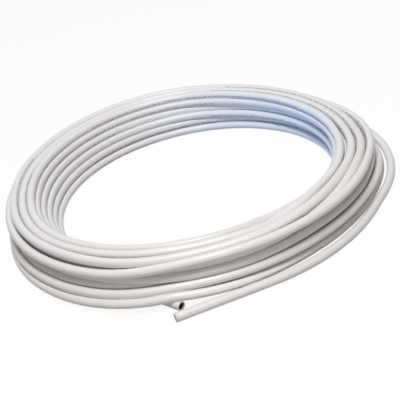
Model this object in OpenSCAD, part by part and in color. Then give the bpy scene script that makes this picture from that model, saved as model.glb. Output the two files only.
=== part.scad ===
// Coil of 15 mm plastic pipe, as sold for plumbing: turns wound in nested rows,
// with the outermost turn sprung clear at one side and both cut ends lying free.
// The coil lies flat. Millimetres, +Z up, origin on the floor at the middle of
// the footprint.

/* [Pipe] */
// Outside diameter of the pipe
pipe_od = 15; // [12:0.5:18]
// Wall thickness of the pipe
pipe_wall = 1.65; // [1.2:0.05:2.4]

/* [Winding] */
// Clear width across the eye of the coil
eye_d = 525; // [430:5:640]
// Space between neighbouring turns of one row
lane_gap = 1.5; // [0.8:0.1:2.4]
// Space between a turn and the turns it nests on
nest_gap = 0.3; // [0.2:0.1:0.6]

/* [Free turn] */
// Extra radius of the free turn where it runs beside the coil, over the next lane
free_gap = 7; // [3:0.5:9]
// Direction in which the free turn starts to run beside the coil
free_az = -76; // [-84:1:-70]
// Angle through which the free turn runs beside the coil
beside_angle = 41; // [30:1:45]
// Straight stretch where the free turn springs away from the coil
spring_l = 55; // [40:5:75]
// By how much its bend is tighter where it stands furthest out
bulge_tighter = 60; // [45:5:85]
// Angle of the bend where the free turn stands furthest out
bulge_angle = 68; // [62:1:76]
// Extra radius of the free turn where it lies round the coil, over the next lane
lying_gap = 8.25; // [6:0.25:9]
// Direction in which the free turn bends in under the coil
tuck_az = 224; // [216:1:230]
// Bend radius with which it bends in under the coil
tuck_r = 180; // [165:5:200]

/* [Cut ends] */
// Length of the straight end of the free turn
outer_end_l = 158; // [120:2:184]
// Length of the straight end nearer to the coil, from the middle of the turn over it
inner_end_l = 62; // [56:2:74]
// Direction in which the nearer end leaves the coil
inner_end_az = 251.3; // [249:0.1:254]
// Angle at which the nearer end comes out from under the coil
inner_end_angle = 26; // [22:1:30]
// Depth to which each cut end is hollow
end_bore_depth = 50; // [30:5:55]

/* [Hidden] */
$fn = 96;

pipe_r = pipe_od / 2;
bore_d = pipe_od - 2 * pipe_wall;
lane_pitch = pipe_od + lane_gap;
// Neighbouring rows nest half a lane apart, nest_gap clear of each other.
row_pitch = sqrt(pow(pipe_od + nest_gap, 2) - pow(lane_pitch / 2, 2));
first_lane_r = eye_d / 2 + pipe_r;

// Turns in each row, from the floor up, and the lane in which each row starts.
// Lanes are counted outwards from the innermost turn, in steps of half a lane.
row_turns = [4, 4, 5, 4, 5, 3];
row_start = [0, 0.5, 0, 0.5, 0, 1.5];
rows = len(row_turns);

function lane_r(lane) = first_lane_r + lane * lane_pitch;
function row_z(row) = pipe_r + row * row_pitch;
function turn_at(lane, row) = [lane_r(lane), row_z(row)];
function last_lane(row) = row_start[row] + row_turns[row] - 1;

// By how much a slim leg of the pipe is thinner all round, and how far it reaches into
// the legs beside it.
slim_step = 0.05;
slim_reach_l = 1;
// Angle by which the fill beside the free turn stops short at each end.
fill_inset = 1;

// The free turn is laid out as a path over the floor. A pose is [point, heading],
// and a leg is [bend radius, angle], or [0, length] where it is straight.
function along(heading) = [cos(heading), sin(heading)];
function bend_centre(pose, r) = pose[0] + r * along(pose[1] + 90);
function after(pose, leg) =
    leg[0] == 0
    ? [pose[0] + leg[1] * along(pose[1]), pose[1]]
    : [bend_centre(pose, leg[0]) + leg[0] * along(pose[1] + leg[1] - 90), pose[1] + leg[1]];

// Angle of an arc, from its length and its radius.
function arc_angle(length, r) = length / r * 180 / PI;

// Leg that bends from a pose on to the circle of radius r about the coil's axis,
// and meets that circle without a kink.
function joining_r(pose, r) =
    (r * r - pose[0] * pose[0]) / (2 * (pose[0] * along(pose[1] + 90) + r));
function joining_leg(pose, r) =
    let (bend = joining_r(pose, r), back = -bend_centre(pose, bend))
    [bend, atan2(back[1], back[0]) + 90 - pose[1]];

// Angle through which a bend leads from the circle of radius r about the coil's
// axis in to the circle of radius inner_r.
function tuck_angle(r, bend, inner_r) =
    acos((pow(inner_r, 2) - pow(r - bend, 2) - pow(bend, 2)) / (2 * (r - bend) * bend));

// The free turn lies outside the bottom row, beyond the next lane.
edge_r = lane_r(last_lane(0));
floor_lane_r = edge_r + lane_pitch;
beside_r = floor_lane_r + free_gap;
bulge_r = beside_r - bulge_tighter;
lying_r = floor_lane_r + lying_gap;

beside_start = [beside_r * along(free_az), free_az + 90];
beside_leg = [beside_r, beside_angle];
spring_start = after(beside_start, beside_leg);
spring_leg = [0, spring_l];
bulge_start = after(spring_start, spring_leg);
bulge_leg = [bulge_r, bulge_angle];
joining_start = after(bulge_start, bulge_leg);
joining = joining_leg(joining_start, lying_r);
round_start = after(joining_start, joining);
round_leg = [lying_r, tuck_az + 90 - round_start[1]];
tuck_start = after(round_start, round_leg);
tuck_leg = [tuck_r, tuck_angle(lying_r, tuck_r, edge_r)];

// The nearer end comes straight out from under the outermost turn of the bottom row.
inner_end_start = [edge_r * along(inner_end_az), inner_end_az + 90 - inner_end_angle];
inner_end_leg = [0, inner_end_l];

outer_mouth = [beside_start[0] - outer_end_l * along(beside_start[1]), beside_start[1]];
inner_mouth_point = after(inner_end_start, inner_end_leg)[0];
inner_mouth = [inner_mouth_point, inner_end_start[1] + 180];

// Footprint, for the origin at its middle.
widest_lane = max([for (row = [0 : rows - 1]) last_lane(row)]);
widest_r = max(lane_r(widest_lane), lying_r - slim_step) + pipe_r;
x_high = bend_centre(bulge_start, bulge_r)[0] + bulge_r + pipe_r;
y_low = outer_mouth[0][1] - pipe_r * cos(outer_mouth[1]);
footprint_middle = [(x_high - widest_r) / 2, (y_low + widest_r) / 2];

// Outline through the middles of the outer turns, up the inner side and down
// the outer side. Where the row above starts further out, it follows the row.
function inner_side(row) =
    let (reach = row + 1 < rows ? max(row_start[row], row_start[row + 1] - 0.5) : row_start[row])
    [for (lane = [row_start[row] : reach]) turn_at(lane, row)];
core_outline = concat(
    [for (row = [0 : rows - 1]) each inner_side(row)],
    [for (row = [rows - 1 : -1 : 0]) turn_at(last_lane(row), row)]);

// Section of the nested turns: a round for each, and a core that fills the space
// between them. It is what is left of a plain block once the space around it is
// cut away, so that it is one face.
module block() {
    translate([lane_r(-1), -pipe_r])
        square([lane_r(widest_lane + 1) - lane_r(-1), row_z(rows) + pipe_r]);
}

module turns_section() {
    difference() {
        block();
        difference() {
            block();
            for (row = [0 : rows - 1])
                for (i = [0 : row_turns[row] - 1])
                    translate(turn_at(row_start[row] + i, row))
                        circle(d = pipe_od);
            polygon(core_outline);
        }
    }
}

// Pipe over one leg of a path on the floor. A slim leg is a hair thinner, and its
// ends reach into the legs before and after it, so that all of them are one pipe.
module pipe_leg(pose, leg, slim = false) {
    d = slim ? pipe_od - 2 * slim_step : pipe_od;
    if (leg[0] == 0)
        translate([pose[0][0], pose[0][1], pipe_r])
            rotate([0, 90, pose[1]])
                cylinder(d = d, h = leg[1]);
    else {
        reach = slim ? arc_angle(slim_reach_l, leg[0]) : 0;
        translate(bend_centre(pose, leg[0]))
            rotate([0, 0, pose[1] - 90 - reach])
                rotate_extrude(angle = leg[1] + 2 * reach)
                    translate([leg[0], pipe_r])
                        circle(d = d);
    }
}

// Space between the coil and the free turn, where it lies round it.
module floor_lane_fill() {
    rotate([0, 0, round_start[1] - 90 + fill_inset])
        rotate_extrude(angle = round_leg[1] - 2 * fill_inset)
            polygon([
                [lying_r, row_z(0)], turn_at(last_lane(0), 0),
                turn_at(last_lane(1) - 1, 1), turn_at(last_lane(1), 1)]);
}

// Bore of a cut end. The mouth's heading points into the pipe.
module end_bore(mouth) {
    translate([mouth[0][0], mouth[0][1], pipe_r])
        rotate([0, 90, mouth[1]])
            translate([0, 0, -1])
                cylinder(d = bore_d, h = end_bore_depth + 1);
}

module pipe_coil() {
    color("whitesmoke")
        translate([-footprint_middle[0], -footprint_middle[1], 0])
            difference() {
                union() {
                    rotate_extrude()
                        turns_section();
                    floor_lane_fill();
                    pipe_leg(outer_mouth, [0, outer_end_l]);
                    pipe_leg(beside_start, beside_leg, slim = true);
                    pipe_leg(spring_start, spring_leg);
                    pipe_leg(bulge_start, bulge_leg, slim = true);
                    pipe_leg(joining_start, joining);
                    pipe_leg(round_start, round_leg, slim = true);
                    pipe_leg(tuck_start, tuck_leg);
                    pipe_leg(inner_end_start, inner_end_leg);
                }
                end_bore(outer_mouth);
                end_bore(inner_mouth);
            }
}

pipe_coil();
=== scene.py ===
"""A coil of 15 mm plastic pipe, lying flat. The pipe is one continuous tube: it is laid
turn by turn into its places in the winding, and the turns then settle against each
other. Metres, +Z up."""

import math

import bpy
import numpy as np
from mathutils import Matrix, Vector


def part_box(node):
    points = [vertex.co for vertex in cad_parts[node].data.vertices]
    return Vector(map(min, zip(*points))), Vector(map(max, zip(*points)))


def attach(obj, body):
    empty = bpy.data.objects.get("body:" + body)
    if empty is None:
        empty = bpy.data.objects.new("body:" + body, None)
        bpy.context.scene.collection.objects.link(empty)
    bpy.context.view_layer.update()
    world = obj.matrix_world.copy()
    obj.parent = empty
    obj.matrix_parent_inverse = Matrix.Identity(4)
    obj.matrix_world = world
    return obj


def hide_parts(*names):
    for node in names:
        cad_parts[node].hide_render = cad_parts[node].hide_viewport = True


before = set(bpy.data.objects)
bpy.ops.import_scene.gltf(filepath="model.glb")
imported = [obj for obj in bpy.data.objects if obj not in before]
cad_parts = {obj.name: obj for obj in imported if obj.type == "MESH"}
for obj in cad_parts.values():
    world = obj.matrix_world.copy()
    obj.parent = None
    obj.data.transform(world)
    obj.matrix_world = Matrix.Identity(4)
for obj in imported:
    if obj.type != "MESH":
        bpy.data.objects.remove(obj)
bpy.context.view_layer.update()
low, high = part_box("pipe_coil")

# ---------------------------------------------------------------- sizes, as in the CAD model

PIPE_OD = 0.015
PIPE_R = PIPE_OD / 2
PIPE_WALL = 0.00165
BORE_R = PIPE_R - PIPE_WALL
BORE_DEPTH = 0.05
EYE_D = 0.525
LANE_GAP = 0.0015
LANE_PITCH = PIPE_OD + LANE_GAP
# Lanes from the innermost turn of the bottom row to the outermost one.
BOTTOM_LANES = 3
EDGE_R = EYE_D / 2 + PIPE_R + BOTTOM_LANES * LANE_PITCH
# The free turn runs beside the coil, springs away from it, and then lies round it.
FREE_GAP = 0.007
LYING_GAP = 0.00825
BESIDE_R = EDGE_R + LANE_PITCH + FREE_GAP
LYING_R = EDGE_R + LANE_PITCH + LYING_GAP
BESIDE_AZ = -76
BESIDE_ANGLE = 41
SPRING_L = 0.055
BULGE_TIGHTER = 0.06
BULGE_R = BESIDE_R - BULGE_TIGHTER
BULGE_ANGLE = 68
OUTER_END_L = 0.158
INNER_END_L = 0.062
INNER_END_AZ = 251.3 - 360
INNER_END_ANGLE = 26

# The coil's axis: the free turn lying round the coil reaches the box on the left and
# at the back.
WIDEST_R = LYING_R + PIPE_R
AXIS = Vector((low.x + WIDEST_R, high.y - WIDEST_R, 0))


def add_object(name, data):
    added = bpy.data.objects.new(name, data)
    bpy.context.scene.collection.objects.link(added)
    return added


# ---------------------------------------------------------------- camera

CAMERA_ELEVATION = 29.16
CAMERA_ROLL = 12.24
CAMERA_DISTANCE = 1.5774
CAMERA_LENS = 75.7
CAMERA_SENSOR = 36
# Small turns of the camera, which put the coil's axis a little off the middle.
CAMERA_PAN = -0.228
CAMERA_TILT = -0.451


def make_camera():
    data = bpy.data.cameras.new("camera")
    data.lens = CAMERA_LENS
    data.sensor_width = CAMERA_SENSOR
    camera = add_object("camera", data)
    elevation = math.radians(CAMERA_ELEVATION)
    back = Vector((0, -math.cos(elevation), math.sin(elevation)))
    turn = (
        Matrix.Rotation(math.radians(90 - CAMERA_ELEVATION), 4, "X")
        @ Matrix.Rotation(math.radians(-CAMERA_ROLL), 4, "Z")
        @ Matrix.Rotation(math.radians(CAMERA_PAN), 4, "Y")
        @ Matrix.Rotation(math.radians(CAMERA_TILT), 4, "X")
    )
    camera.matrix_world = Matrix.Translation(AXIS + back * CAMERA_DISTANCE) @ turn
    bpy.context.scene.camera = camera


# ---------------------------------------------------------------- the two ends' paths

# Space between the points that a path is laid with.
PATH_STEP = 0.004


def along(heading):
    return np.array([math.cos(math.radians(heading)), math.sin(math.radians(heading))])


def leg_points(point, heading, radius, amount):
    """Points along a leg of a path over the floor, and the place and heading it ends with.
    The leg is a bend of this radius and angle, or a straight of this length at radius 0."""
    if radius == 0:
        count = max(2, int(amount / PATH_STEP))
        points = [point + along(heading) * amount * i / count for i in range(count)]
        return points, point + along(heading) * amount, heading
    centre = point + radius * along(heading + 90)
    count = max(2, int(radius * math.radians(amount) / PATH_STEP))
    turns = [heading - 90 + amount * i / count for i in range(count)]
    points = [centre + radius * along(turn) for turn in turns]
    return points, centre + radius * along(heading + amount - 90), heading + amount


def joining_leg(point, heading, radius):
    """The bend that meets the circle of this radius about the axis without a kink."""
    side = along(heading + 90)
    bend = (radius ** 2 - point @ point) / (2 * (point @ side + radius))
    back = -(point + bend * side)
    return bend, math.degrees(math.atan2(back[1], back[0])) + 90 - heading


def free_route():
    """Azimuth and radius of the free turn about the axis, from its mouth on."""
    heading = BESIDE_AZ + 90
    mouth = BESIDE_R * along(BESIDE_AZ) - OUTER_END_L * along(heading)
    points, point, heading = leg_points(mouth, heading, 0, OUTER_END_L)
    for radius, amount in ((BESIDE_R, BESIDE_ANGLE), (0, SPRING_L), (BULGE_R, BULGE_ANGLE)):
        more, point, heading = leg_points(point, heading, radius, amount)
        points += more
    radius, amount = joining_leg(point, heading, LYING_R)
    more, point, heading = leg_points(point, heading, radius, amount)
    points = np.array(points + more + [point])
    return np.degrees(np.arctan2(points[:, 1], points[:, 0])), np.hypot(*points.T)


INNER_HEADING = INNER_END_AZ + 90 - INNER_END_ANGLE
INNER_MOUTH = EDGE_R * along(INNER_END_AZ) + INNER_END_L * along(INNER_HEADING)
INNER_MOUTH_AZ = math.degrees(math.atan2(INNER_MOUTH[1], INNER_MOUTH[0]))

# ---------------------------------------------------------------- places in the winding

# The winding is worked out in pipe diameters, in a section that goes round the axis.
# From its inner mouth the pipe runs clockwise, so that its azimuth falls.
STEPS = 108
TURNS = 26
# Height of the middle of a pipe that lies on the floor.
ON_FLOOR = 0.5
# Height of the middles of the turns in each row, from the floor up. The last height is
# for a turn that rides up over the top row.
ROW_HEIGHT = (ON_FLOOR, 1.42, 2.25, 3.1, 3.94, 4.8, 5.6)
# How far out the outermost turn of each row lies, every 30 degrees from the left on.
OUTER_EDGE = (
    (23.0, 23.2, 23.2, 22.0, 21.1, 21.65, 22.8, 22.1, 21.8, 21.9, 22.3, 22.95),
    (22.7, 22.95, 22.8, 21.8, 20.9, 21.6, 22.4, 21.6, 21.6, 22.0, 22.2, 22.5),
    (22.1, 22.2, 21.8, 20.6, 20.1, 20.4, 21.3, 21.2, 21.3, 21.9, 22.1, 22.1),
    (22.0, 22.0, 21.8, 21.4, 20.8, 21.2, 21.6, 21.0, 21.2, 21.8, 22.0, 22.0),
    (22.3, 22.45, 22.2, 21.4, 20.9, 21.0, 21.6, 20.9, 21.0, 22.0, 22.5, 22.4),
    (21.65, 21.9, 21.9, 21.6, 21.4, 21.2, 20.0, 19.4, 19.8, 21.1, 22.0, 22.0),
)
# The same for the innermost turn of the bottom row and of the top row.
INNER_EDGE_LOW = (17.5, 17.4, 17.0, 16.7, 16.7, 17.1, 18.2, 18.4, 18.2, 18.1, 17.9, 17.7)
INNER_EDGE_TOP = (19.9, 20.0, 19.6, 19.2, 18.9, 18.7, 18.0, 17.8, 18.3, 19.9, 20.6, 20.4)
# The place of each turn in winding order: its row, and its share of the way from the
# inner to the outer edge, first where the coil is tight and then where it is loose.
# A row that isn't a whole number is a place between two rows, or above the top row, and
# a share over 1 lies past the outer edge.
PLACES = (
    ((0, 0.25), (0, 0.2)), ((0, 0), (0, 0)), ((1, 0.12), (1, 0)), ((2, 0), (2, 0)),
    ((3, 0.12), (3, 0)), ((4, 0), (4, 0)), ((5, 0), (5, 0)), ((4, 0.27), (3, 0.33)),
    ((3, 0.38), (2, 0.33)), ((2, 0.25), (1, 0.25)), ((1, 0.38), (0, 0.4)),
    ((0, 0.5), (0, 0.6)), ((0, 0.75), (0, 0.8)), ((1, 0.65), (1, 0.75)),
    ((2, 0.5), (1, 0.5)), ((2, 0.75), (2, 0.67)), ((3, 0.68), (3, 0.67)),
    ((4, 0.6), (4, 0.33)), ((5, 0.5), (5, 0.45)), ((5, 1), (5.4, 1)), ((4, 0.85), (4, 0.67)),
    ((4, 1), (4, 1)), ((3, 1), (3, 1)), ((2, 1), (2, 1)), ((1, 1), (1, 1)), ((0, 1), (0, 1)),
)
# Places at the front, where the top row holds a turn more than it does at the right, and
# where turn 24 stands out between two rows.
FRONT_PLACES = {
    7: (4, 0.33), 17: (4, 0.67), 18: (5, 0.33), 19: (5, 0.67), 20: (4, 1), 21: (5, 1),
    24: (1.6, 1.15),
}
# Directions between which the turns go over to their front places, and back again.
FRONT_BEGINS_AZ = (-10, -38)
FRONT_ENDS_AZ = (-85, -125)
# Directions between which the coil goes from tight to loose, and back again.
LOOSENS_AZ = (-100, -140)
TIGHTENS_AZ = (110, 60)
# Up to this turn, each turn steps to its place at the front, and after it at the back.
# The steps at the front are spread over some degrees, from FRONT_AZ on.
FRONT_STEPS = 20
FRONT_AZ = -45
FRONT_STAGGER = 20
BACK_AZ = 120
STEP_ANGLE = 60


def smooth(x):
    x = np.clip(x, 0, 1)
    return x * x * (3 - 2 * x)


def round_about(knots, azimuth):
    """A smooth closed curve (Catmull-Rom) through knots spaced evenly from -180 on."""
    knots = np.array(knots)
    count = len(knots)
    x = (azimuth + 180) % 360 / 360 * count
    i = np.floor(x).astype(int)
    t = x - i
    p, q, r, s = (knots[(i + k) % count] for k in (-1, 0, 1, 2))
    return q + t / 2 * (r - p + t * (2 * p - 5 * q + 4 * r - s + t * (3 * (q - r) + s - p)))


def between(azimuth, begins, ends):
    """Goes from 0 to 1 where a stretch of the coil begins, and back to 0 where it ends."""
    after = (begins[0] - azimuth) % 360
    length = (begins[0] - ends[0]) % 360
    rise = smooth(after / (begins[0] - begins[1]))
    return rise * smooth(1 - (after - length) / (ends[0] - ends[1]))


def outer_edge(row, azimuth):
    """The outer edge of a row, or between two rows where the row is not a whole number."""
    below = int(row)
    above = min(below + 1, len(OUTER_EDGE) - 1)
    low_edge = round_about(OUTER_EDGE[below], azimuth)
    return low_edge + (round_about(OUTER_EDGE[above], azimuth) - low_edge) * (row - below)


def place(turn, azimuth):
    """Radius and height that a turn is meant to have in these directions."""
    inner_low = round_about(INNER_EDGE_LOW, azimuth)
    lean = (round_about(INNER_EDGE_TOP, azimuth) - inner_low) / (len(OUTER_EDGE) - 1)
    loose = between(azimuth, LOOSENS_AZ, TIGHTENS_AZ)
    front = between(azimuth, FRONT_BEGINS_AZ, FRONT_ENDS_AZ) * (1 - loose)
    tight_place, loose_place = PLACES[turn]
    places = (tight_place, loose_place, FRONT_PLACES.get(turn, tight_place))
    found = np.zeros((len(azimuth), 2))
    for (row, share), weight in zip(places, (1 - loose - front, loose, front)):
        inner = inner_low + lean * row
        radius = inner + (outer_edge(row, azimuth) - inner) * share
        height = np.full(len(azimuth), np.interp(row, range(len(ROW_HEIGHT)), ROW_HEIGHT))
        found += weight[:, None] * np.stack([radius, height], 1)
    return found


def step_azimuth(turn):
    """Direction in which the pipe begins its step to this turn."""
    if turn > FRONT_STEPS:
        return BACK_AZ
    return FRONT_AZ + FRONT_STAGGER * (turn - 1) / FRONT_STEPS


def meant_route():
    """Azimuth, and the radius and height that each point of the pipe is meant to have."""
    wound = np.arange(STEPS * TURNS + 1) * 360 / STEPS
    azimuth = INNER_MOUTH_AZ - wound
    meant = place(0, azimuth)
    for turn in range(1, TURNS):
        start = 360 * (turn - 1) + (INNER_MOUTH_AZ - step_azimuth(turn)) % 360
        part = smooth((wound - start) / STEP_ANGLE)[:, None]
        meant += (place(turn, azimuth) - meant) * part
    return azimuth, meant


# ---------------------------------------------------------------- how the turns settle

SETTLE_ROUNDS = 700
# Shares of an overlap by which turns part, and are lifted, in each round.
PUSH_SHARE = 0.6
LIFT_SHARE = 0.5
# How strongly a turn goes back to its place in each round: along the radius, upright.
BACK_TO_PLACE = np.array([0.003, 0.006])
# The pipe's stiffness: how often its bends are evened out in each round.
STIFFNESS = 2
# Added to each distance, so that none is zero where it is divided by.
LEAST = 1e-9
# Steps over which the two ends' paths go over into the winding.
INNER_EASE = 24
OUTER_EASE = 12
# Direction in which the last turn has come down to where the CAD model has it.
LYING_AZ = -145 - 360 * (TURNS - 1)


def lay_inner_end(azimuth, meant):
    """Lays the straight inner end, and returns how many points it has and its slants."""
    heading = along(INNER_HEADING)
    mouth = INNER_MOUTH / PIPE_OD
    foot = abs(mouth[0] * heading[1] - mouth[1] * heading[0])
    foot_az = INNER_HEADING - 90
    slant = azimuth - foot_az
    count = int((slant > 0).sum())
    meant[:count, 0] = foot / np.cos(np.radians(slant[:count]))
    meant[:count, 1] = ON_FLOOR
    ease = slice(count, count + INNER_EASE)
    part = smooth(np.arange(1, INNER_EASE + 1) / INNER_EASE)
    meant[ease, 0] = foot + (meant[ease, 0] - foot) * part
    return count, slant[:count]


def lay_free_turn(azimuth, meant):
    """Lays the free turn where the CAD model has it, and returns its first point."""
    free_az, free_r = free_route()
    first = int(np.argmax(azimuth < LYING_AZ))
    radius = np.interp(azimuth[first:] + 360 * TURNS, free_az, free_r, right=LYING_R) / PIPE_OD
    part = smooth(np.arange(len(radius)) / OUTER_EASE)[:, None]
    lying = np.stack([radius, np.full(len(radius), ON_FLOOR)], 1)
    meant[first:] += (lying - meant[first:]) * part
    return first + OUTER_EASE


def by_turn(values):
    """A view of the points' values with one row for each turn, without the last point."""
    return values[:-1].reshape(TURNS, STEPS, *values.shape[1:])


def push_apart(at, lead, one, other):
    """The push that parts each pair of turns where they overlap."""
    slope = np.gradient(at[:, 0]) / (at[:, 0] * math.radians(360 / STEPS))
    turns = by_turn(at)
    slopes = by_turn(slope)
    apart = turns[one] - turns[other]
    # Turns that cross at a slant are nearer to each other than the section shows.
    apart[..., 0] /= np.sqrt(1 + (slopes[one] - slopes[other]) ** 2)
    distance = np.linalg.norm(apart, axis=2) + LEAST
    overlap = np.clip(1 - distance, 0, None)
    # Turns are lifted over the straight inner end, and not pushed aside by it. It is
    # part of turn 0, whose pairs come first.
    overlap[: TURNS - 1, :lead] = 0
    return apart * (PUSH_SHARE * overlap / distance)[..., None]


def lift_over_end(at, end_radius, end_cosine):
    """How far the later turns have to rise to lie on the straight inner end."""
    turns = by_turn(at)[1:, : len(end_radius)]
    beside = (turns[..., 0] - end_radius) * end_cosine
    lift = ON_FLOOR + np.sqrt(np.clip(1 - beside ** 2, 0, 1)) - turns[..., 1]
    return np.where(np.abs(beside) < 1, np.clip(lift, 0, None), 0)


def settle(azimuth, meant):
    """Pushes turns apart where they overlap, and evens out their bends as stiff pipe would.
    Where turns cross, a small overlap is left."""
    lead, slant = lay_inner_end(azimuth, meant)
    free = lay_free_turn(azimuth, meant)
    fixed = np.zeros(len(meant), bool)
    fixed[:lead] = True
    fixed[free:] = True
    can_move = by_turn(np.where(fixed, 0.0, 1.0))
    one, other = np.triu_indices(TURNS, 1)
    movers = np.maximum(can_move[one] + can_move[other], 1)
    share_one = (can_move[one] / movers)[..., None]
    share_other = (can_move[other] / movers)[..., None]
    # Which turn is the first and which the second of each pair.
    is_one = (np.arange(TURNS)[:, None] == one).astype(float)
    is_other = (np.arange(TURNS)[:, None] == other).astype(float)
    moved = np.zeros_like(meant)
    for _ in range(SETTLE_ROUNDS):
        push = push_apart(meant + moved, lead, one, other)
        given = np.einsum("tp,psk->tsk", is_one, push * share_one)
        given -= np.einsum("tp,psk->tsk", is_other, push * share_other)
        moved[:-1] += given.reshape(-1, 2)
        moved *= 1 - BACK_TO_PLACE
        for _ in range(STIFFNESS):
            moved[1:-1] = (moved[:-2] + 2 * moved[1:-1] + moved[2:]) / 4
        moved[fixed] = 0
        moved[:, 1] = np.maximum(moved[:, 1], ON_FLOOR - meant[:, 1])
        lift = lift_over_end(meant + moved, meant[:lead, 0], np.cos(np.radians(slant)))
        by_turn(moved)[1:, :lead, 1] += lift * LIFT_SHARE
    return meant + moved


def make_route():
    """Points along the middle of the pipe, from its inner mouth to its outer one."""
    azimuth, meant = meant_route()
    settled = settle(azimuth, meant) * PIPE_OD
    turn = np.radians(azimuth)
    route = np.stack([settled[:, 0] * np.cos(turn), settled[:, 0] * np.sin(turn), settled[:, 1]], 1)
    outer_az, outer_r = (values[0] for values in free_route())
    outer_mouth = np.append(outer_r * along(outer_az), PIPE_R)
    return np.vstack([route, outer_mouth]) + np.array(AXIS)


# ---------------------------------------------------------------- the pipe's mesh

SIDES = 24
EDGE_ROUND = 0.0003
# Rings that close each cut end: how far into the pipe, and the radius.
END_RINGS = (
    (0, PIPE_R - EDGE_ROUND), (0, BORE_R + EDGE_ROUND), (EDGE_ROUND, BORE_R),
    (0.003, BORE_R), (0.006, BORE_R), (0.02, BORE_R), (BORE_DEPTH, BORE_R),
)
# Steps between those rings that lie in the bore, and not on the cut face.
BORE_STEPS = len(END_RINGS) - 2
PLASTIC_SLOT, BORE_SLOT = 0, 1


def ring_axes(route):
    ahead = np.gradient(route, axis=0)
    ahead /= np.linalg.norm(ahead, axis=1)[:, None]
    side = np.cross(ahead, (0, 0, 1))
    side /= np.linalg.norm(side, axis=1)[:, None]
    return side, np.cross(side, ahead)


def ring_directions():
    turn = np.arange(SIDES) * 2 * math.pi / SIDES
    return np.stack([np.cos(turn), np.sin(turn)], 1)


def ring(centre, radius, side, over):
    directions = ring_directions()
    return centre + radius * (directions[:, :1] * side + directions[:, 1:] * over)


def end_rings(route, length, side, over):
    """Rings round the cut face and down the bore, along the route from its first point."""
    found = []
    for depth, radius in END_RINGS:
        centre = np.array([np.interp(depth, length, route[:, k]) for k in range(3)])
        found.append((ring(centre, radius, side, over), depth))
    return found


def tube_rings(route, length):
    """All rings of the pipe, each with how far along the pipe it lies."""
    side, over = ring_axes(route)
    outside = [(ring(route[i], PIPE_R, side[i], over[i]), length[i]) for i in range(len(route))]
    first = end_rings(route, length, side[0], over[0])
    last = end_rings(route[::-1], length[-1] - length[::-1], side[-1], over[-1])
    return first[::-1] + outside + [(points, length[-1] - depth) for points, depth in last]


def tube_quads(ring_count):
    quads = []
    for i in range(ring_count - 1):
        for j in range(SIDES):
            k = (j + 1) % SIDES
            quads.append((i * SIDES + k, i * SIDES + j, (i + 1) * SIDES + j, (i + 1) * SIDES + k))
    return quads


def write_straightened(mesh, rings):
    """Where each point would be if the pipe were straight: along it, and across it."""
    across = ring_directions() * PIPE_R
    places = [np.hstack([np.full((SIDES, 1), at), across]) for _, at in rings]
    attribute = mesh.attributes.new("straightened", "FLOAT_VECTOR", "POINT")
    attribute.data.foreach_set("vector", np.vstack(places).astype(np.float32).ravel())


def write_inside_depth(mesh, ring_count):
    """How far each point lies inside the pipe, from the nearer cut end."""
    depths = np.zeros(ring_count)
    inwards = [depth for depth, radius in END_RINGS]
    depths[:len(END_RINGS)] = inwards[::-1]
    depths[-len(END_RINGS):] = inwards
    attribute = mesh.attributes.new("inside_depth", "FLOAT", "POINT")
    attribute.data.foreach_set("value", np.repeat(depths, SIDES).astype(np.float32))


def make_pipe(route):
    length = np.append(0, np.cumsum(np.linalg.norm(np.diff(route, axis=0), axis=1)))
    rings = tube_rings(route, length)
    verts = np.vstack([points for points, _ in rings])
    quads = tube_quads(len(rings))
    first_ring = tuple(range(SIDES))
    last_ring = tuple(range(len(verts) - SIDES, len(verts)))
    mesh = bpy.data.meshes.new("pipe")
    mesh.from_pydata(verts.tolist(), [], quads + [first_ring, last_ring[::-1]])
    mesh.polygons.foreach_set("use_smooth", [True] * len(mesh.polygons))
    slots = np.full(len(mesh.polygons), PLASTIC_SLOT)
    slots[:SIDES * BORE_STEPS] = BORE_SLOT
    slots[len(quads) - SIDES * BORE_STEPS:] = BORE_SLOT
    mesh.polygons.foreach_set("material_index", slots)
    write_straightened(mesh, rings)
    write_inside_depth(mesh, len(rings))
    mesh.update()
    return add_object("pipe", mesh), length[-1]


# ---------------------------------------------------------------- shader nodes

class Nodes:
    """Short calls that add shader nodes to a material or a world."""

    def __init__(self, tree):
        self.tree = tree

    def fill(self, node, sockets):
        for socket, value in sockets.items():
            if isinstance(value, bpy.types.NodeSocket):
                self.tree.links.new(value, node.inputs[socket])
            else:
                node.inputs[socket].default_value = value

    def add(self, kind, sockets, **settings):
        node = self.tree.nodes.new("ShaderNode" + kind)
        for key, value in settings.items():
            setattr(node, key, value)
        self.fill(node, sockets)
        return node

    def attribute(self, name, output):
        return self.add("Attribute", {}, attribute_name=name).outputs[output]

    def math(self, operation, *values):
        return self.add("Math", dict(enumerate(values)), operation=operation).outputs[0]

    def noise(self, place, stretch, detail=3, roughness=0.55):
        scaled = self.add("VectorMath", {0: place, 1: stretch}, operation="MULTIPLY").outputs[0]
        look = {"Vector": scaled, "Scale": 1.0, "Detail": detail, "Roughness": roughness}
        return self.add("TexNoise", look).outputs[0]

    def spread(self, value, between=(0, 1), to=(0, 1)):
        ends = {1: between[0], 2: between[1], 3: to[0], 4: to[1]}
        return self.add("MapRange", {0: value, **ends}).outputs[0]

    def mix(self, share, one, other):
        return self.add("Mix", {0: share, 6: one, 7: other}, data_type="RGBA").outputs[2]

    def mix_shaders(self, share, one, other):
        return self.add("MixShader", {0: share, 1: one, 2: other}).outputs[0]

    def bump(self, height, strength, distance):
        look = {"Height": height, "Strength": strength, "Distance": distance}
        return self.add("Bump", look).outputs[0]

    def seen_directly(self):
        """1 for what the camera sees straight, in a gloss or through glass, and 0 for the
        light that things throw on each other."""
        path = self.add("LightPath", {}).outputs
        seen = path["Is Camera Ray"]
        for ray in ("Is Glossy Ray", "Is Transmission Ray"):
            seen = self.math("MAXIMUM", seen, path[ray])
        return seen


# ---------------------------------------------------------------- the pipe's materials

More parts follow.
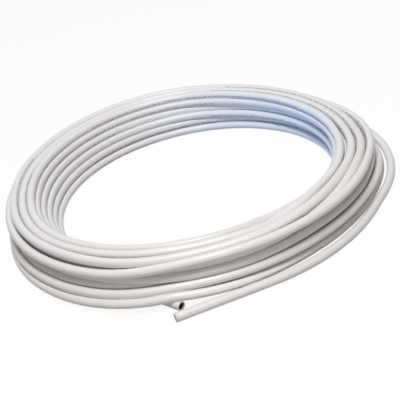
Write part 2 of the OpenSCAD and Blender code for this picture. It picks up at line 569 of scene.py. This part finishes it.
PIPE_COLOUR = (0.87, 0.855, 0.845, 1)
PIPE_WARM = (0.82, 0.79, 0.765, 1)
SCUFF_COLOUR = (0.60, 0.58, 0.55, 1)
PIPE_ROUGHNESS = (0.34, 0.55)
# Patterns of the surface. Their stretch is how fine they are, along and across the pipe.
DRIFT = {"stretch": (1.3, 30, 30), "detail": 2}
STREAKS = {"stretch": (9, 700, 700), "detail": 4, "roughness": 0.6}
SCUFFS = {"stretch": (55, 260, 260), "detail": 5, "roughness": 0.7}
RIPPLE = {"stretch": (14, 420, 420), "detail": 4, "roughness": 0.6}
# Parts of each pattern that show, and how strongly.
DRIFT_RANGE = (0.35, 0.7)
STREAK_RANGE = (0.5, 0.78)
SCUFF_RANGE = (0.62, 0.75)
STREAK_STRENGTH = 0.25
SCUFF_STRENGTH = 0.35
RIPPLE_STRENGTH = 0.35
RIPPLE_DEPTH = 0.0004

# Rows of dashes along the pipe, with how often a row begins and how long it is. Angles
# round the pipe are in radians, and the twist is by how much a row goes round in a metre.
MARK_COLOUR = (0.3, 0.3, 0.32, 1)
MARK_STRENGTH = 0.6
MARK_EVERY = 1.0
MARK_LENGTH = 0.5
MARK_HALF_WIDTH = 0.24
MARK_TURN = 0.55
MARK_TWIST = -0.03
# A dash stands wherever this pattern is over its level.
DASHES = {"stretch": (230, 0, 0), "detail": 1, "roughness": 0.5}
DASH_LEVEL = 0.46

# The inside of the pipe, with painted shade: a greyer colour at its mouth, and a much darker one
# further in, where little light comes.
BORE_COLOUR = (0.6, 0.585, 0.57, 1)
BORE_PAINTED_SHADE = (0.07, 0.065, 0.06, 1)
BORE_SHADE_DEPTH = 0.006
BORE_ROUGHNESS = (0.5, 0.7)
BORE_DRIFT = {"stretch": (40, 200, 200)}
BORE_UNEVEN = 0.001
BORE_RIPPLE_STRENGTH = 0.2
BORE_RIPPLE_DEPTH = 0.0002


def new_material(name):
    """A new material, its nodes and its shader."""
    material = bpy.data.materials.new(name)
    material.use_nodes = True
    nodes = Nodes(material.node_tree)
    return material, nodes, material.node_tree.nodes["Principled BSDF"]


def generic_marks(nodes, place):
    """Rows of small plain dashes along the pipe, with nothing to read in them."""
    parts = nodes.add("SeparateXYZ", {0: place}).outputs
    turn = nodes.math("ARCTAN2", parts["Z"], parts["Y"])
    turned = nodes.math("ADD", turn, MARK_TURN)
    twisted = nodes.math("MULTIPLY_ADD", parts["X"], MARK_TWIST, turned)
    beside = nodes.math("WRAP", twisted, math.pi, -math.pi)
    in_line = nodes.math("COMPARE", beside, 0.0, MARK_HALF_WIDTH)
    along_it = nodes.math("FLOORED_MODULO", parts["X"], MARK_EVERY)
    in_row = nodes.math("LESS_THAN", along_it, MARK_LENGTH)
    dash = nodes.math("GREATER_THAN", nodes.noise(place, **DASHES), DASH_LEVEL)
    return nodes.math("MULTIPLY", nodes.math("MULTIPLY", in_line, in_row), dash)


def pipe_material():
    material, nodes, shader = new_material("pipe_plastic")
    place = nodes.attribute("straightened", "Vector")
    drift = nodes.spread(nodes.noise(place, **DRIFT), DRIFT_RANGE)
    streak = nodes.spread(nodes.noise(place, **STREAKS), STREAK_RANGE)
    scuff = nodes.spread(nodes.noise(place, **SCUFFS), SCUFF_RANGE)
    marks = nodes.spread(generic_marks(nodes, place), to=(0, MARK_STRENGTH))
    colour = nodes.mix(drift, PIPE_COLOUR, PIPE_WARM)
    colour = nodes.mix(nodes.spread(streak, to=(0, STREAK_STRENGTH)), colour, SCUFF_COLOUR)
    colour = nodes.mix(nodes.spread(scuff, to=(0, SCUFF_STRENGTH)), colour, SCUFF_COLOUR)
    colour = nodes.mix(marks, colour, MARK_COLOUR)
    worn = nodes.math("MAXIMUM", streak, scuff)
    ripple = nodes.noise(place, **RIPPLE)
    nodes.fill(shader, {
        "Base Color": colour,
        "Roughness": nodes.spread(worn, to=PIPE_ROUGHNESS),
        "Normal": nodes.bump(ripple, RIPPLE_STRENGTH, RIPPLE_DEPTH),
    })
    return material


def bore_material():
    material, nodes, shader = new_material("pipe_bore")
    place = nodes.attribute("straightened", "Vector")
    depth = nodes.attribute("inside_depth", "Fac")
    drift = nodes.noise(place, **BORE_DRIFT)
    uneven = nodes.math("MULTIPLY_ADD", drift, BORE_UNEVEN, depth)
    # Painted shade: the bore's colour goes darker with depth from the nearer cut end, along an
    # uneven edge.
    painted_shade = nodes.spread(uneven, (0, BORE_SHADE_DEPTH))
    nodes.fill(shader, {
        "Base Color": nodes.mix(painted_shade, BORE_COLOUR, BORE_PAINTED_SHADE),
        "Roughness": nodes.spread(drift, to=BORE_ROUGHNESS),
        "Normal": nodes.bump(drift, BORE_RIPPLE_STRENGTH, BORE_RIPPLE_DEPTH),
    })
    return material


# ---------------------------------------------------------------- floor and light

WHITE = (1, 1, 1, 1)
FLOOR_SIZE = 30
# The floor as the camera sees it: this share is plain white, the rest takes shadows.
FLOOR_WHITE = 0.92
# The floor's colour in the light that it throws back on the pipe.
FLOOR_BOUNCE = (0.36, 0.345, 0.33, 1)
WORLD_LEVEL = 0.14
WORLD_COLOUR = (1, 0.965, 0.93, 1)


def floor_material():
    material, nodes, _ = new_material("floor")
    nodes.tree.nodes.clear()
    seen = nodes.seen_directly()
    colour = nodes.mix(seen, FLOOR_BOUNCE, WHITE)
    diffuse = nodes.add("BsdfDiffuse", {"Color": colour}).outputs[0]
    glow = nodes.add("Emission", {"Strength": 1.0}).outputs[0]
    share = nodes.math("MULTIPLY", seen, FLOOR_WHITE)
    nodes.add("OutputMaterial", {"Surface": nodes.mix_shaders(share, diffuse, glow)})
    return material


def make_floor():
    half = FLOOR_SIZE / 2
    corners = [(-half, -half, 0), (half, -half, 0), (half, half, 0), (-half, half, 0)]
    mesh = bpy.data.meshes.new("floor")
    mesh.from_pydata(corners, [], [(0, 1, 2, 3)])
    mesh.materials.append(floor_material())
    add_object("floor", mesh)


def make_world():
    world = bpy.data.worlds.new("world")
    bpy.context.scene.world = world
    world.use_nodes = True
    nodes = Nodes(world.node_tree)
    nodes.tree.nodes.clear()
    plain = nodes.add("Background", {"Color": WORLD_COLOUR, "Strength": WORLD_LEVEL}).outputs[0]
    white = nodes.add("Background", {"Color": WHITE, "Strength": 1.0}).outputs[0]
    mixed = nodes.mix_shaders(nodes.seen_directly(), plain, white)
    nodes.add("OutputWorld", {"Surface": mixed})


def area_lamp(name, place, aim, size, power, colour=(1, 1, 1)):
    """A square lamp, with its place and aim given from the coil's axis on the floor."""
    data = bpy.data.lights.new(name, "AREA")
    data.shape = "SQUARE"
    data.size = size
    data.energy = power
    data.color = colour
    lamp = add_object(name, data)
    lamp.location = AXIS + Vector(place)
    lamp.visible_camera = False
    lamp.rotation_mode = "QUATERNION"
    lamp.rotation_quaternion = (Vector(aim) - Vector(place)).to_track_quat("-Z", "Y")


def make_lamps():
    area_lamp("key", place=(-0.05, -0.95, 2.4), aim=(0, 0, 0), size=0.6, power=42)
    area_lamp(
        "back", place=(-0.2, 0.7, 1.8), aim=(0, 0.1, 0), size=1.2, power=7,
        colour=(0.78, 0.85, 1),
    )
    # A low lamp, which lights the coil's outer side but not its inner one.
    area_lamp("front", place=(0.2, -1.6, 0.22), aim=(0, -0.3, 0.05), size=0.35, power=2.7)
    # A small blue lamp in the eye, for the cool light on the inner side at the right.
    area_lamp(
        "cool", place=(0.04, 0.0, 0.03), aim=(0.3, 0.2, 0.03), size=0.05, power=0.18,
        colour=(0.04, 0.38, 1),
    )


# ---------------------------------------------------------------- the scene

bpy.context.scene.view_settings.view_transform = "Standard"
make_camera()
route = make_route()
pipe, pipe_length = make_pipe(route)
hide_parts("pipe_coil")
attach(pipe, "root")
pipe.data.materials.append(pipe_material())
pipe.data.materials.append(bore_material())
make_floor()
make_world()
make_lamps()
